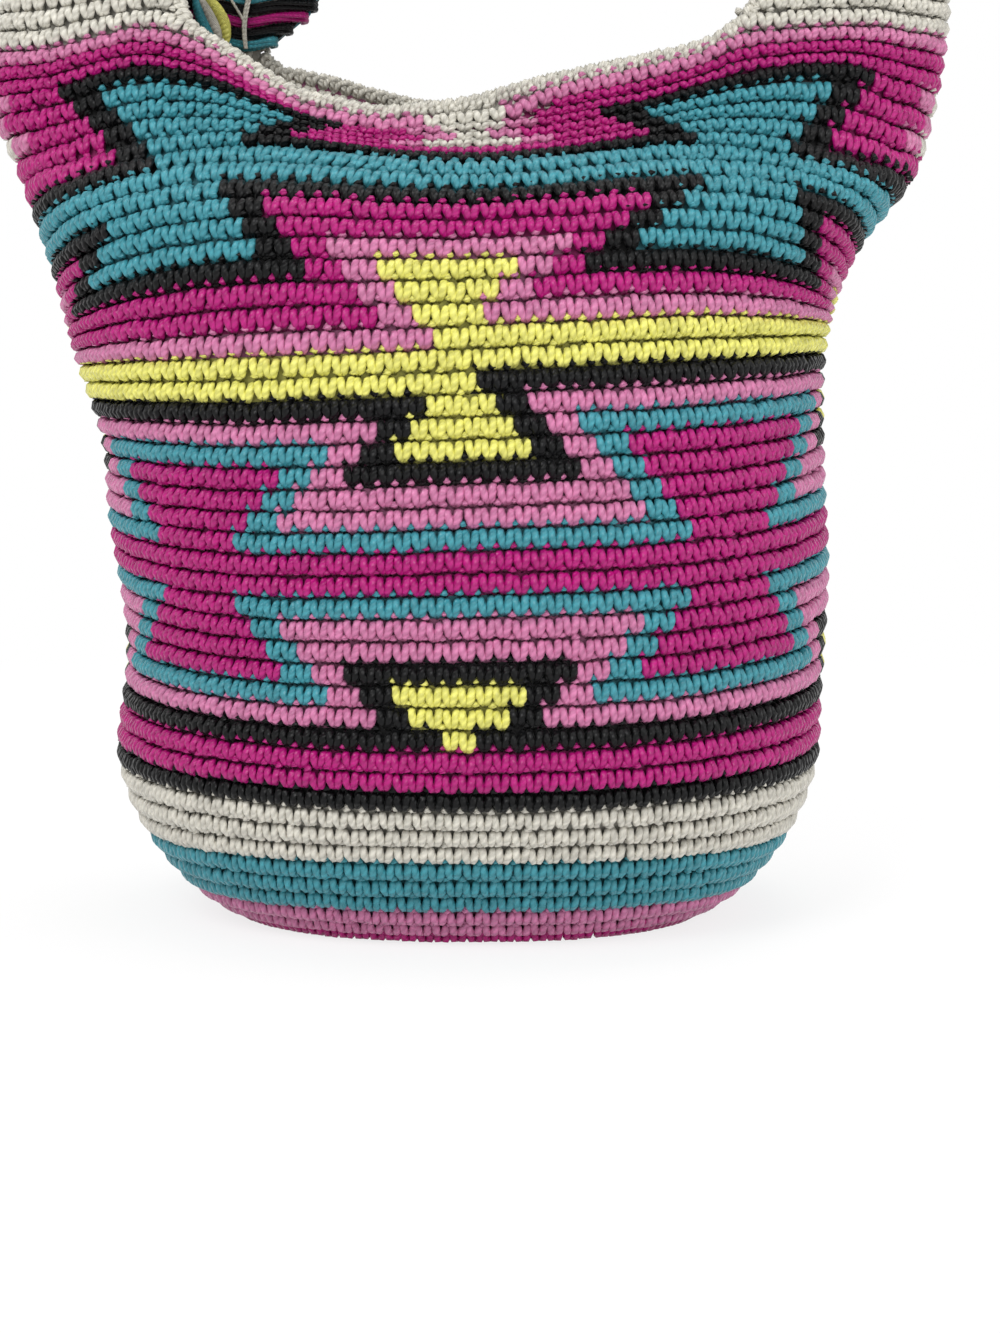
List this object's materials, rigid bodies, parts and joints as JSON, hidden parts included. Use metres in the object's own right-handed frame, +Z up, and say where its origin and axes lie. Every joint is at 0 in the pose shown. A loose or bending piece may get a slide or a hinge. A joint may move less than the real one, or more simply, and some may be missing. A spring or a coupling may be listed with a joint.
{
  "type": "crochet hobo bag",
  "caption": "Round crocheted hobo bag in bright stripes and stepped hourglasses, with a scooped mouth, two ears, a wide crocheted shoulder strap and a cloth lining.",
  "frame": {"origin": "middle of the flat base, on the surface that the bag stands on", "axes": "+Z up; +X to the right ear as seen from the front; the front faces -Y"},
  "size_m": [0.328, 0.2, 0.551],
  "materials": {
    "tapestry_crochet": "glossy crocheted cord in six colours",
    "yarn_cream": "glossy crocheted cord",
    "yarn_teal": "glossy yarn",
    "yarn_magenta": "glossy yarn",
    "yarn_pink": "glossy yarn",
    "yarn_yellow": "glossy yarn",
    "yarn_black": "glossy yarn",
    "lining_cloth": "matt plain-woven cloth"
  },
  "bodies": {
    "root": {"crochet_body": "tapestry_crochet", "front_edging": "yarn_cream", "back_edging": "yarn_cream", "shoulder_strap": "yarn_cream", "lining": "lining_cloth", "carried_teal_low": "yarn_teal", "carried_black_low": "yarn_black", "carried_magenta": "yarn_magenta", "carried_black_high": "yarn_black", "carried_teal_high": "yarn_teal", "carried_pink": "yarn_pink", "carried_yellow_loop": "yarn_yellow", "catch_stitch": "yarn_cream"}
  },
  "joints": []
}
